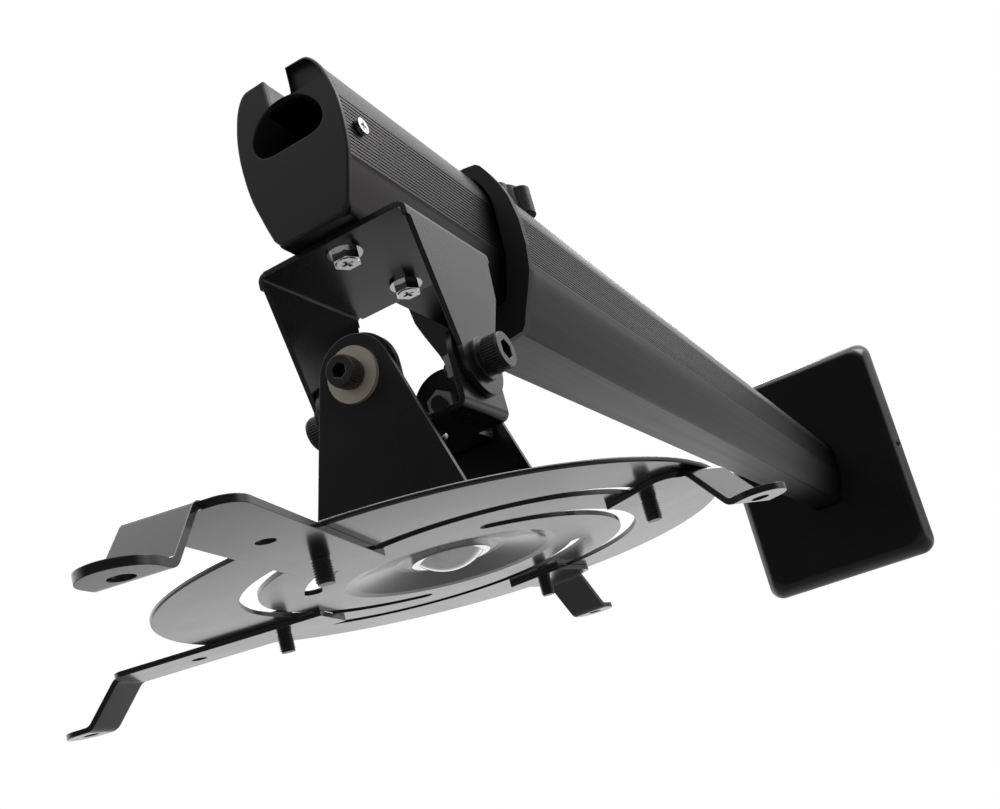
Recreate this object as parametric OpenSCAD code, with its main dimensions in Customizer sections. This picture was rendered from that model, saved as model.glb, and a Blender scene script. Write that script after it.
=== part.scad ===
// Projector wall mount: telescopic wall arm, two-axis head, slotted disc and four foot arms.
// Millimetres. Origin at the back of the wall plate on the arm's centre line.
// X to the right, Y into the wall, Z up. The head hangs in front of the wall at negative Y.

/* [Arm] */
// distance from the wall to the head's centre line
reach = 1100; // [900:5:1300]
// height of the arm's centre line above the underside of the disc
arm_height = 177; // [170:0.5:185]
// length of the inner tube
inner_len = 530; // [420:5:600]
// wall thickness of the tubes
tube_wall = 2.5; // [2:0.1:3]
// extension from the shown length
extend_max = 300; // [100:10:300]

/* [Disc] */
// radius of the disc
disc_r = 120; // [110:1:130]
// thickness of the disc sheet
disc_t = 2; // [1.5:0.1:3]
// width of each curved slot
slot_w = 7; // [6.6:0.1:8]
// centre-line radius of each curved slot
slot_rho = 74.4; // [70:0.2:76]
// angle covered by each curved slot
slot_sweep = 142; // [90:1:144]
// height of the raised centre
dish_h = 5; // [3:0.5:6]

/* [Head] */
// height of both pivot axes above the underside of the disc
pivot_z = 80; // [76:0.5:84]
// sheet thickness of yoke, cross piece and lower bracket
sheet = 2.5; // [2:0.1:3]
// outer half width of the yoke
yoke_x = 39.5; // [38:0.5:42]
// outer half depth of the lower bracket's ears
ear_y = 38.5; // [37:0.5:41]
// thickness of the friction washers
fric_t = 1; // [0.8:0.1:1.5]

/* [Foot arms] */
// width of each foot arm
arm_w = 30; // [26:1:32]
// thickness of each foot arm
arm_t = 2.5; // [2:0.1:3]
// stud to bend, long arms
long_bend = 88; // [75:1:95]
// stud to bend, short arms
short_bend = 26; // [24:1:40]
// drop from strip to foot
foot_drop = 18.5; // [10:0.5:25]
// width of the foot that steps down from the strip
foot_w = 20; // [16:0.5:24]

/* [Wall cover] */
// width of the cover's back edge
cover_w = 245; // [230:1:260]
// height of the cover's back edge
cover_h = 320; // [300:1:340]
// depth of the cover
cover_d = 25; // [20:1:35]

/* [Hidden] */
$fn = 64;
eps = 0.01;
// head centre in the object's frame
head_y = -reach;
head_z = -arm_height;
// clearances
run_fit = 0.06;
slide_fit = 0.25;
// inner tube outline, heights above the disc's underside
in_bot = 145;
in_top = 219.5;
rib_lo = 174;
rib_hi = 199;
rib_n = 10;
rib_d = 0.7;
channel_w = 12;
channel_d = 12;
tube_front = -40;
tube_back = tube_front + inner_len;
// outer tube
out_bot = 131;
out_top = 222.5;
out_front = 96;
out_back = reach - 9;
// wall parts
plate_t = 3;
plate_w = 200;
plate_h = 270;
cover_cz = 8;
wall_hole_r = 4.5;
wall_dx = 150;
wall_dz = 220;
// pivots
ear_r = 17.5;
leg_r = 16;
tab_w = 37.5;
tilt_r = 5;
roll_r = 4;
tab_x = yoke_x - sheet - fric_t;
tab_y = ear_y - sheet - fric_t;
cross_bot = 57;
brk_bot = dish_h + disc_t + fric_t;
// foot arms
slot_e = 17.9;
slot_phi = 10.3;
stud_r = 3;
arm_gap = 0.05;
extra_hole = 41.7;
jog_ang = 48;
jog_ri = 4;
jog_rm = jog_ri + arm_t / 2;
jog_straight = (foot_drop - 2 * jog_rm * (1 - cos(jog_ang))) / sin(jog_ang);
jog_run = 2 * jog_rm * sin(jog_ang) + jog_straight * cos(jog_ang);
foot_out = 4;
corner_r = 7;
stud_out = 9;
foot_hole_r = 3.3;
// arm 1 front, 2 left, 3 right, 4 back: slot index, strip direction, bend distance, hand
arm_slot = [3, 2, 0, 1];
arm_dir = [-73.5, -163, -28.6, 84];
arm_bend = [long_bend, long_bend - 11, short_bend, short_bend];
arm_inner = [24, 24, 9, 9];
arm_hand = [-1, -1, 1, 1];

// shared shapes

// moves a shape given from the disc's underside into the object's frame
module head() {
  translate([0, head_y, head_z]) children();
}

// cylinder along +X, +Y or +Z from a start value
module cyl_x(x0, x1, r) {
  translate([x0, 0, 0]) rotate([0, 90, 0]) cylinder(h = x1 - x0, r = r);
}

module cyl_y(y0, y1, r) {
  translate([0, y1, 0]) rotate([90, 0, 0]) cylinder(h = y1 - y0, r = r);
}

module hex_x(x0, x1, af) {
  translate([x0, 0, 0]) rotate([0, 90, 0]) cylinder(h = x1 - x0, r = af / sqrt(3), $fn = 6);
}

module hex_y(y0, y1, af) {
  translate([0, y1, 0]) rotate([90, 0, 0]) cylinder(h = y1 - y0, r = af / sqrt(3), $fn = 6);
}

module washer(h, ro, ri) {
  difference() {
    cylinder(h = h, r = ro);
    translate([0, 0, -1]) cylinder(h = h + 2, r = ri);
  }
}

// cross recess cut, depth d, opening upward at z 0
module cross_cut(d, w) {
  translate([-w / 2, -w / 7, -d]) cube([w, w / 3.5, d + 1]);
  translate([-w / 7, -w / 2, -d]) cube([w / 3.5, w, d + 1]);
}

// outline point lists as [height, half width]
inner_pts = concat(
  [[in_bot, 17.5], [in_bot + 1.5, 18.7], [149, 19.5], [163, 23.5], [169, 25.2], [rib_lo - 1, 25.65]],
  [for (i = [0 : rib_n - 1]) for (j = [0 : 2])
    [rib_lo + (rib_hi - rib_lo) * (i + j / 3) / rib_n, 25.75 + 0.075 * i - (j == 1 ? rib_d : 0)]],
  [[rib_hi, 26.5], [204, 25.4], [209, 23.8], [213, 22], [216.5, 19.9], [218.7, 17.7], [in_top, 16]]);

outer_pts = concat(
  [[out_bot, 16], [out_bot + 1.2, 17.6], [140, 21.2], [157, 26.2], [165, 28.2], [170.5, 29]],
  [for (i = [0 : rib_n - 1]) for (j = [0 : 2])
    [171.5 + 29.5 * (i + j / 3) / rib_n, 29.2 + 0.08 * i - (j == 1 ? rib_d : 0)]],
  [[201, 30], [207, 28.8], [212, 27], [216.5, 24.8], [220, 22], [221.8, 19.5], [out_top, 17.5]]);

function right_side(p, g) = [for (q = p) [q[1] + g, q[0]]];
function left_side(p, g) = [for (i = [len(p) - 1 : -1 : 0]) [-p[i][1] - g, p[i][0]]];

// closed outline of the inner tube grown by g, without the channel
module inner_outline(g) {
  polygon(concat(right_side(inner_pts, g), left_side(inner_pts, g)));
}

module outer_outline(g) {
  polygon(concat(right_side(outer_pts, g), left_side(outer_pts, g)));
}

// smooth outline through the main points only, shrunk by g, for cavities and sleeves
core_pts = [[145, 17.5], [149, 19.5], [163, 23.5], [169, 25.1], [173, 25.2], [199, 26.1], [204, 25.5],
  [209, 23.8], [213, 22], [216.5, 19.9], [219.5, 16]];
shell_pts = [[131, 16.5], [140, 21.2], [157, 26.2], [165, 28.2], [171, 28.6], [201, 29.3], [207, 28.8],
  [212, 27], [216.5, 24.8], [220, 22], [222.5, 17.5]];

// tube cross-sections run along Y
module along_y(y0, y1) {
  translate([0, y1, 0]) rotate([90, 0, 0]) linear_extrude(height = y1 - y0) children();
}

module inner_cavity() {
  lo = in_bot + tube_wall;
  hi = in_top - channel_d - tube_wall;
  intersection() {
    polygon(concat(right_side(core_pts, -tube_wall), left_side(core_pts, -tube_wall)));
    translate([-40, lo]) square([80, hi - lo]);
  }
}

module outer_cavity() {
  lo = out_bot + tube_wall;
  hi = out_top - tube_wall;
  intersection() {
    polygon(concat(right_side(shell_pts, -tube_wall), left_side(shell_pts, -tube_wall)));
    translate([-40, lo]) square([80, hi - lo]);
  }
}

// wall parts

module wall_plate() {
  tab_out = cover_w / 2 - 8;
  tab_z = cover_cz;
  color([0.16, 0.16, 0.17])
  difference() {
    union() {
      translate([-plate_w / 2, -plate_t, cover_cz - plate_h / 2]) cube([plate_w, plate_t, plate_h]);
      for (s = [-1, 1]) {
        translate([s > 0 ? plate_w / 2 - eps : -tab_out, -plate_t, tab_z - 14])
          cube([tab_out - plate_w / 2 + eps, plate_t, 28]);
        translate([s > 0 ? tab_out - sheet : -tab_out, -13.2, tab_z - 14])
          cube([sheet, 13.2, 28]);
      }
    }
    for (sx = [-1, 1])
      for (sz = [-1, 1])
        translate([sx * wall_dx / 2, 0, cover_cz + sz * wall_dz / 2])
          cyl_y(-plate_t - 1, 1, wall_hole_r);
    for (sx = [-1, 1])
      for (sz = [-1, 1])
        translate([sx * 36, 0, sz * 58]) cyl_y(-plate_t - 1, 1, 3.5);
    for (s = [-1, 1])
      translate([0, -9, tab_z]) mirror([s < 0 ? 1 : 0, 0, 0]) cyl_x(tab_out - 5, tab_out + 3, 2.1);
  }
}

module arm_socket() {
  plug = 60;
  color([0.32, 0.32, 0.34])
  difference() {
    union() {
      translate([-45, -plate_t - 6, -70]) cube([90, 6, 140]);
      translate([0, head_y, head_z])
        along_y(out_back - plug, out_back + eps)
          intersection() {
            polygon(concat(right_side(shell_pts, -tube_wall - slide_fit),
              left_side(shell_pts, -tube_wall - slide_fit)));
            translate([-40, out_bot + tube_wall + slide_fit])
              square([80, out_top - out_bot - 2 * tube_wall - 2 * slide_fit]);
          }
    }
    translate([0, head_y, head_z])
      along_y(out_back - plug - 1, reach)
        intersection() {
          polygon(concat(right_side(shell_pts, -tube_wall - 5), left_side(shell_pts, -tube_wall - 5)));
          translate([-40, out_bot + 9]) square([80, out_top - out_bot - 18]);
        }
    for (sx = [-1, 1])
      for (sz = [-1, 1])
        translate([sx * 36, 0, sz * 58]) cyl_y(-plate_t - 7, 0, 3.2);
    for (s = [-1, 1])
      translate([0, -reach + out_back - 7, 9]) cyl_x(s > 0 ? 18 : -40, s > 0 ? 40 : -18, 2.1);
  }
}

module socket_screws() {
  color([0.7, 0.7, 0.72])
  for (sx = [-1, 1])
    for (sz = [-1, 1])
      translate([sx * 36, 0, sz * 58])
        difference() {
          union() {
            cyl_y(-plate_t - 6 - 4, -plate_t - 6, 5);
            cyl_y(-plate_t - 6 - eps, -0.5, 3);
          }
          hex_y(-plate_t - 6 - 4 - eps, -plate_t - 8, 4);
        }
}

module outer_tube() {
  bush_y = knob_y;
  color([0.2, 0.2, 0.22])
  head()
  difference() {
    along_y(out_front, out_back) outer_outline(0);
    along_y(out_front - 1, out_back + 1) outer_cavity();
    translate([0, bush_y, out_top - 10]) cylinder(h = 20, r = 5.6);
    for (s = [-1, 1])
      translate([0, out_back - 7, arm_height + 9]) cyl_x(s > 0 ? 15 : -40, s > 0 ? 40 : -15, 2.6);
  }
}

module tube_screws() {
  y = out_back - 7;
  z = arm_height + 9;
  xs = 29.9;
  color([0.7, 0.7, 0.72])
  head()
  for (s = [-1, 1])
    translate([0, y, z])
      mirror([s < 0 ? 1 : 0, 0, 0])
        difference() {
          union() {
            cyl_x(xs, xs + 2.4, 4);
            cyl_x(xs - 8, xs + eps, 2);
          }
          translate([xs + 2.4, 0, 0]) rotate([0, 90, 0]) cross_cut(1.4, 4);
        }
}

// pan shape: two crossing profiles cut by a block with round corners; g shrinks every side
module cover_body(g, back) {
  w = cover_w / 2 - g;
  h = cover_h / 2 - g;
  d = cover_d - g;
  prof = [[0, 0], [0.3, 2.2], [0.55, 4.8], [0.75, 7.4], [0.88, 9.6], [0.96, 12], [1, 15.5]];
  right = [for (q = prof) [q[1], q[0]]];
  translate([0, back, cover_cz])
    intersection() {
      translate([0, 0, -h - 1]) linear_extrude(height = 2 * h + 2)
        polygon(concat([for (q = right) [w - q[0], -d * q[1]]],
          [for (i = [len(right) - 1 : -1 : 0]) [-w + right[i][0], -d * right[i][1]]]));
      translate([-w - 1, 0, 0]) rotate([90, 0, 90]) linear_extrude(height = 2 * w + 2)
        polygon(concat([for (q = right) [-d * q[1], h - q[0]]],
          [for (i = [len(right) - 1 : -1 : 0]) [-d * right[i][1], -h + right[i][0]]]));
      rotate([90, 0, 0]) translate([0, 0, -1]) linear_extrude(height = d + 2)
        union() {
          square([2 * w, 2 * (h - 20)], center = true);
          square([2 * (w - 20), 2 * h], center = true);
          for (sx = [-1, 1])
            for (sz = [-1, 1])
              translate([sx * (w - 20), sz * (h - 20)]) circle(r = 20);
        }
    }
}

module wall_cover() {
  xb = cover_w / 2 - 4.4;
  color([0.09, 0.09, 0.1])
  difference() {
    union() {
      difference() {
        cover_body(0, -0.05);
        translate([0, 0.5, 0]) cover_body(2.2, 0);
      }
      intersection() {
        cover_body(0, -0.05);
        translate([0, -9, cover_cz])
          for (s = [-1, 1])
            mirror([s < 0 ? 1 : 0, 0, 0]) cyl_x(xb - 3.2, xb + 2.4, 7);
      }
    }
    for (s = [-1, 1])
      translate([0, -9, cover_cz]) mirror([s < 0 ? 1 : 0, 0, 0]) cyl_x(xb, xb + 9, 4.6);
    head() along_y(reach - cover_d - 2, reach + 2) outer_outline(slide_fit + 0.2);
    head() along_y(reach - cover_d - 2, reach + 2)
      translate([-18, out_top - 1]) square([36, 1 + slide_fit + 0.2]);
    head() along_y(reach - cover_d - 2, reach + 2)
      translate([-16.5, out_bot - slide_fit - 0.2]) square([33, 2]);
    for (s = [-1, 1])
      translate([0, -9, cover_cz]) mirror([s < 0 ? 1 : 0, 0, 0]) cyl_x(xb - 9, xb + 9, 2.3);
  }
}

module cover_screws() {
  xs = cover_w / 2 - 4.4;
  color([0.12, 0.12, 0.13])
  for (s = [-1, 1])
    translate([0, -9, cover_cz])
      mirror([s < 0 ? 1 : 0, 0, 0])
        difference() {
          union() {
            cyl_x(xs, xs + 2.2, 4);
            cyl_x(xs - 9, xs + eps, 2);
          }
          translate([xs + 2.2, 0, 0]) rotate([0, 90, 0]) cross_cut(1.3, 4);
        }
}

// outer tube mouth

knob_y = 165;
bush_top = out_top + 3.5;

// collar outline, heights and half widths of the flange
flange_pts = [[124.3, 14], [125.5, 23.5], [128.5, 26], [133, 27.5], [141, 31], [148, 34], [156, 37],
  [170, 39], [185, 39], [199, 37], [208, 34], [218, 29], [223, 26], [225, 23.5], [226, 16.5]];

module collar() {
  sleeve = 40;
  color([0.06, 0.06, 0.07])
  head()
  difference() {
    union() {
      along_y(out_front - 5, out_front) polygon(concat(right_side(flange_pts, 0), left_side(flange_pts, 0)));
      along_y(out_front - eps, out_front + sleeve)
        intersection() {
          polygon(concat(right_side(shell_pts, -tube_wall - 0.1), left_side(shell_pts, -tube_wall - 0.1)));
          translate([-40, out_bot + tube_wall + 0.1]) square([80, 85.8]);
        }
    }
    along_y(out_front - 6, out_front + sleeve + 1) {
      polygon(concat(right_side(core_pts, 1.1), left_side(core_pts, 1.1)));
      translate([-17.1, in_bot - 0.3]) square([34.2, 3]);
      translate([-16, in_top - 3]) square([32, 3.3]);
    }
    along_y(out_front + sleeve - 12, out_front + sleeve + 1)
      translate([-14, out_bot + tube_wall - 1]) square([28, 20]);
  }
}

// pad that carries the inner tube inside the outer tube's mouth
module front_glide() {
  color([0.75, 0.75, 0.73])
  head()
  translate([-13.8, out_front + 40 - 11.8, out_bot + tube_wall + eps])
    cube([27.6, 30, in_bot - out_bot - tube_wall - 0.1]);
}

module clamp_bush() {
  color([0.55, 0.55, 0.57])
  head()
  translate([0, knob_y, 0])
    difference() {
      union() {
        translate([0, 0, out_top]) cylinder(h = bush_top - out_top, r = 11);
        translate([0, 0, out_top - 7.5]) cylinder(h = 7.6, r = 5.5);
      }
      translate([0, 0, out_top - 10]) cylinder(h = 20, r = roll_r + run_fit);
    }
}

module clamp_pad() {
  color([0.8, 0.8, 0.78])
  head()
  translate([-5.6, knob_y - 9, in_top - channel_d + 0.05]) cube([11.2, 18, 3]);
}

module lock_knob() {
  r = 17.5;
  lobe = 6.4;
  h = 19;
  z0 = bush_top + 0.3;
  color([0.05, 0.05, 0.05])
  head()
  translate([0, knob_y, z0])
    difference() {
      union() {
        cylinder(h = h, r = r);
        for (i = [0 : 5])
          rotate([0, 0, 60 * i]) translate([r - 1, 0, 0]) cylinder(h = h - 1.5, r = lobe, $fn = 40);
        translate([0, 0, h - eps]) cylinder(h = 2.2, r1 = 15, r2 = 12.5);
      }
      for (i = [0 : 5])
        rotate([0, 0, 60 * i + 30]) translate([r + 6.5, 0, -1]) cylinder(h = h + 2, r = 6.5, $fn = 40);
      translate([0, 0, -1]) cylinder(h = 15, r = roll_r);
    }
}

module knob_stud() {
  z0 = in_top - channel_d + 3.1;
  color([0.7, 0.7, 0.72])
  head()
  translate([0, knob_y, z0]) cylinder(h = bush_top + 14 - z0, r = roll_r);
}

// inner tube

module inner_tube() {
  color([0.26, 0.26, 0.28])
  head()
  difference() {
    along_y(tube_front, tube_back) inner_outline(0);
    along_y(tube_front - 1, tube_back + 1) {
      inner_cavity();
      translate([-channel_w / 2, in_top - channel_d]) square([channel_w, channel_d + 2]);
    }
    for (y = [-22, 24])
      translate([0, y, in_bot - 1]) cylinder(h = 6, r = stud_r + 0.3);
    for (s = [-1, 1])
      translate([0, -28.7, 186.6]) cyl_x(s > 0 ? 18 : -32, s > 0 ? 32 : -18, 2.2);
    for (s = [-1, 1])
      translate([0, tube_back - 10, 186.6]) cyl_x(s > 0 ? 18 : -32, s > 0 ? 32 : -18, 2.05);
  }
}

// D shaped cable hole: flat at the bottom, round above
module cable_hole() {
  intersection() {
    translate([0, 190.2]) scale([1, 0.92]) circle(r = 18.3);
    translate([-20, 186]) square([40, 21]);
  }
}

module end_cap() {
  plug = 22;
  color([0.07, 0.07, 0.08])
  head()
  difference() {
    union() {
      along_y(tube_front - 2, tube_front) inner_outline(0.3);
      along_y(tube_front - eps, tube_front + plug)
        intersection() {
          polygon(concat(right_side(core_pts, -tube_wall - 0.15), left_side(core_pts, -tube_wall - 0.15)));
          translate([-40, 178]) square([80, in_top - channel_d - tube_wall - 0.15 - 178]);
        }
    }
    along_y(tube_front - 3, tube_front + plug + 1) intersection() {
      cable_hole();
      translate([-30, 180]) square([60, in_top - channel_d - tube_wall - 0.7 - 180]);
    }
    along_y(tube_front - 3, tube_front + 1)
      translate([-channel_w / 2, in_top - channel_d]) square([channel_w, channel_d + 2]);
    for (s = [-1, 1])
      translate([0, -28.7, 186.6]) cyl_x(s > 0 ? 16 : -32, s > 0 ? 32 : -16, 2.02);
  }
}

module cap_screws() {
  xs = 26.5;
  color([0.75, 0.75, 0.77])
  head()
  for (s = [-1, 1])
    translate([0, -28.7, 186.6])
      mirror([s < 0 ? 1 : 0, 0, 0])
        difference() {
          union() {
            cyl_x(xs, xs + 1.9, 3.6);
            cyl_x(xs - 7, xs + eps, 1.98);
          }
          translate([xs + 1.9, 0, 0]) rotate([0, 90, 0]) cross_cut(1.2, 3.8);
        }
}

// guide block closing the inner tube's hidden end
module rear_glide() {
  color([0.75, 0.75, 0.73])
  head()
  difference() {
    union() {
      along_y(tube_back, tube_back + 6)
        intersection() {
          polygon(concat(right_side(shell_pts, -tube_wall - 0.3), left_side(shell_pts, -tube_wall - 0.3)));
          translate([-40, out_bot + tube_wall + 0.3]) square([80, out_top - out_bot - 2 * tube_wall - 0.6]);
        }
      along_y(tube_back - 20, tube_back + eps)
        intersection() {
          polygon(concat(right_side(core_pts, -tube_wall - 0.15), left_side(core_pts, -tube_wall - 0.15)));
          translate([-40, 176]) square([80, 24]);
        }
    }
    along_y(tube_back - 21, tube_back + 7) translate([-channel_w, 180]) square([2 * channel_w, 16]);
    along_y(tube_back - 21, tube_back + 7)
      translate([-channel_w / 2, in_top - channel_d]) square([channel_w, channel_d + 8]);
    for (s = [-1, 1])
      translate([0, tube_back - 10, 186.6]) cyl_x(s > 0 ? 8 : -32, s > 0 ? 32 : -8, 2.02);
  }
}

// yoke

leg_h0 = in_bot - sheet;
bend_r = 4;

// side outline of a leg in the Y-Z plane
module leg_outline() {
  difference() {
    union() {
      polygon([[-31, in_bot - bend_r], [34, in_bot - bend_r], [31, 118], [14.2, pivot_z + 7.4],
        [14.2, pivot_z], [-15.6, pivot_z], [-15.6, pivot_z + 3.6]]);
      translate([0, pivot_z]) circle(r = leg_r);
    }
    translate([0, pivot_z]) circle(r = tilt_r + run_fit);
  }
}

module yoke() {
  color([0.08, 0.08, 0.09])
  head()
  difference() {
    union() {
      translate([-yoke_x + bend_r, -33, leg_h0]) cube([2 * (yoke_x - bend_r), 70, sheet]);
      for (s = [-1, 1]) mirror([s < 0 ? 1 : 0, 0, 0]) {
        translate([yoke_x - sheet, 0, 0]) rotate([90, 0, 90]) linear_extrude(height = sheet) leg_outline();
        translate([yoke_x - bend_r, 35, in_bot - bend_r]) rotate([90, 0, 0])
          rotate_quarter(bend_r, sheet, 67.5);
        translate([yoke_x - sheet, -32.5, in_bot - bend_r - 3]) cube([sheet, 67.5, 3]);
      }
    }
    for (y = [-22, 24])
      translate([0, y, leg_h0 - 1]) cylinder(h = sheet + 2, r = stud_r + 0.2);
  }
}

// quarter ring: outer radius r, wall t, length h, from +X towards +Y of its own plane
module rotate_quarter(r, t, h) {
  intersection() {
    difference() {
      cylinder(h = h, r = r);
      translate([0, 0, -1]) cylinder(h = h + 2, r = r - t);
    }
    cube([r + 1, r + 1, h]);
  }
}

module yoke_bolts() {
  color([0.8, 0.8, 0.82])
  head()
  for (y = [-22, 24])
    translate([0, y, leg_h0])
      rotate([180, 0, 0])
        difference() {
          union() {
            cylinder(h = 1.3, r = 7.75);
            translate([0, 0, 1.3 - eps]) cylinder(h = 4.4, r = 6.4, $fn = 6);
            translate([0, 0, 5.6]) cylinder(h = 0.5, r1 = 5.4, r2 = 4.8);
            translate([0, 0, -sheet - tube_wall - 5.2]) cylinder(h = sheet + tube_wall + 5.3, r = stud_r);
          }
          translate([0, 0, 6.1]) cross_cut(2.4, 5.6);
        }
}

module nut_plate() {
  color([0.6, 0.6, 0.62])
  head()
  difference() {
    translate([-14, -33, in_bot + tube_wall]) cube([28, 68, 5]);
    for (y = [-22, 24])
      translate([0, y, in_bot]) cylinder(h = 10, r = stud_r + 0.02);
  }
}

// two-axis head

module cross_piece() {
  lift = cross_bot + bend_r;
  color([0.09, 0.09, 0.1])
  head()
  difference() {
    union() {
      translate([-tab_x + bend_r, -tab_w / 2, cross_bot]) cube([2 * (tab_x - bend_r), tab_w, sheet]);
      translate([-tab_w / 2, -tab_y + bend_r, cross_bot]) cube([tab_w, 2 * (tab_y - bend_r), sheet]);
      for (a = [0, 90, 180, 270])
        rotate([0, 0, a]) {
          out = (a % 180 == 0) ? tab_x : tab_y;
          translate([out - sheet, -tab_w / 2, lift]) cube([sheet, tab_w, pivot_z - lift]);
          translate([out - sheet, 0, pivot_z]) rotate([0, 90, 0]) cylinder(h = sheet, r = tab_w / 2);
          translate([out - bend_r, tab_w / 2, lift]) rotate([90, 0, 0])
            mirror([0, 1, 0]) rotate_quarter(bend_r, sheet, tab_w);
        }
    }
    translate([0, 0, pivot_z]) cyl_x(-tab_x - 1, tab_x + 1, tilt_r + run_fit);
    translate([0, 0, pivot_z]) cyl_y(-tab_y - 1, tab_y + 1, roll_r + run_fit);
    translate([0, 0, cross_bot - 1]) cylinder(h = sheet + 2, r = 12);
  }
}

module socket_bolt(face, head_h, head_r, shank_r, tip, af) {
  // along +X: head starts at face, shank runs back to tip
  difference() {
    union() {
      cyl_x(face, face + head_h, head_r);
      cyl_x(tip, face + eps, shank_r);
    }
    hex_x(face + head_h - 5.5, face + head_h + 1, af);
  }
}

module tilt_bolts() {
  color([0.1, 0.1, 0.11])
  head()
  for (s = [-1, 1])
    translate([0, 0, pivot_z]) mirror([s < 0 ? 1 : 0, 0, 0])
      socket_bolt(yoke_x + 2, 10, 8, tilt_r, tab_x - sheet - 11, 8);
}

module tilt_washers() {
  color([0.55, 0.54, 0.5])
  head()
  for (s = [-1, 1])
    translate([s > 0 ? yoke_x : -yoke_x - 2, 0, pivot_z]) rotate([0, 90, 0]) washer(2, 10, tilt_r + 0.2);
}

module tilt_friction() {
  color([0.5, 0.5, 0.5])
  head()
  for (s = [-1, 1])
    translate([s > 0 ? tab_x : -tab_x - fric_t, 0, pivot_z]) rotate([0, 90, 0])
      washer(fric_t, 14, tilt_r + 0.3);
}

module tilt_nuts() {
  color([0.5, 0.5, 0.52])
  head()
  for (s = [-1, 1])
    translate([0, 0, pivot_z]) mirror([s < 0 ? 1 : 0, 0, 0])
      difference() {
        hex_x(tab_x - sheet - 8, tab_x - sheet, 17);
        cyl_x(tab_x - sheet - 9, tab_x, tilt_r + 0.02);
      }
}

// tangent point of the ear's straight side and its round top
function ear_tan() =
  let (dx = yoke_x - 0.5, dz = brk_bot - pivot_z, d = norm([dx, dz]),
       a = atan2(dz, dx) + acos(ear_r / d))
  [ear_r * cos(a), pivot_z + ear_r * sin(a)];

module ear_outline() {
  t = ear_tan();
  h = yoke_x - 0.5;
  difference() {
    union() {
      polygon([[-h, brk_bot + bend_r], [h, brk_bot + bend_r], [t[0], t[1]], [-t[0], t[1]]]);
      translate([0, pivot_z]) circle(r = ear_r);
    }
    translate([0, pivot_z]) circle(r = roll_r + run_fit);
  }
}

module lower_bracket() {
  h = yoke_x - 0.5;
  color([0.08, 0.08, 0.09])
  head()
  difference() {
    union() {
      translate([-h, -ear_y + bend_r, brk_bot]) cube([2 * h, 2 * (ear_y - bend_r), sheet]);
      for (a = [0, 180])
        rotate([0, 0, a]) {
          translate([0, -ear_y + sheet, 0]) rotate([90, 0, 0]) linear_extrude(height = sheet) ear_outline();
          translate([-h, -ear_y + bend_r, brk_bot + bend_r]) rotate([90, 0, 90])
            mirror([1, 0, 0]) mirror([0, 1, 0]) rotate_quarter(bend_r, sheet, 2 * h);
        }
    }
    translate([0, 0, brk_bot - 1]) cylinder(h = sheet + 2, r = tilt_r + run_fit);
  }
}

module roll_bolts() {
  color([0.1, 0.1, 0.11])
  head()
  for (s = [-1, 1])
    translate([0, 0, pivot_z]) rotate([0, 0, 90 * s])
      socket_bolt(ear_y + 2, 8, 6.5, roll_r, tab_y - sheet - 8.5, 6);
}

module roll_washers() {
  color([0.6, 0.57, 0.5])
  head()
  for (s = [-1, 1])
    translate([0, s > 0 ? ear_y + 2 : -ear_y, pivot_z]) rotate([90, 0, 0]) washer(2, 12, roll_r + 0.2);
}

module roll_friction() {
  color([0.5, 0.5, 0.5])
  head()
  for (s = [-1, 1])
    translate([0, s > 0 ? tab_y + fric_t : -tab_y, pivot_z]) rotate([90, 0, 0])
      washer(fric_t, 13, roll_r + 0.3);
}

module roll_nuts() {
  color([0.5, 0.5, 0.52])
  head()
  for (s = [-1, 1])
    translate([0, 0, pivot_z]) rotate([0, 0, 90 * s])
      difference() {
        hex_x(tab_y - sheet - 6.5, tab_y - sheet, 13);
        cyl_x(tab_y - sheet - 7.5, tab_y, roll_r + 0.02);
      }
}

// disc

module slot_cut() {
  translate([slot_e * cos(slot_phi), slot_e * sin(slot_phi), -1]) {
    rotate([0, 0, -slot_sweep])
      rotate_extrude(angle = slot_sweep)
        translate([slot_rho - slot_w / 2, 0]) square([slot_w, 6]);
    // Round ends, a hair over the slot's width so that they cross its sides cleanly.
    for (e = [[0, -90], [-slot_sweep, 90]])
      rotate([0, 0, e[0]]) translate([slot_rho, 0, 0])
        rotate([0, 0, e[1]]) cylinder(h = 6, r = slot_w / 2 + 0.01);
  }
}

module disc() {
  ro = 46;
  ri = 21;
  color([0.1, 0.1, 0.11])
  head()
  difference() {
    rotate_extrude()
      polygon([[tilt_r + 0.3, dish_h], [ri, dish_h], [ri + 3, dish_h - 0.4], [ro - 4, 0.5], [ro, 0],
        [disc_r - 0.5, 0], [disc_r, 0.5], [disc_r, disc_t - 0.5], [disc_r - 0.5, disc_t], [ro - 0.6, disc_t],
        [ro - 4.6, disc_t + 0.5], [ri + 2.4, dish_h + disc_t - 0.4], [ri - 0.6, dish_h + disc_t],
        [tilt_r + 0.3, dish_h + disc_t]]);
    for (k = [0 : 3])
      rotate([0, 0, 90 * k]) slot_cut();
  }
}

module swivel_washer() {
  color([0.5, 0.5, 0.5])
  head()
  translate([0, 0, dish_h + disc_t]) washer(fric_t, 18, tilt_r + 0.3);
}

module centre_bolt() {
  top = brk_bot + sheet + 12;
  dome_r = 14;
  dome_h = 5.2;
  sph = (dome_r * dome_r + dome_h * dome_h) / (2 * dome_h);
  color([0.85, 0.85, 0.87])
  head()
  union() {
    cylinder(h = top, r = tilt_r);
    translate([0, 0, dish_h - 1.8]) cylinder(h = 1.8, r = 17);
    rotate_extrude()
      intersection() {
        translate([0, dish_h - 1.8 - dome_h + sph]) circle(r = sph, $fn = 160);
        translate([0, dish_h - 1.8 - dome_h]) square([dome_r + 1, dome_h]);
      }
  }
}

module centre_washer() {
  color([0.6, 0.6, 0.62])
  head()
  translate([0, 0, brk_bot + sheet]) washer(2, 11, tilt_r + 0.3);
}

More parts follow.
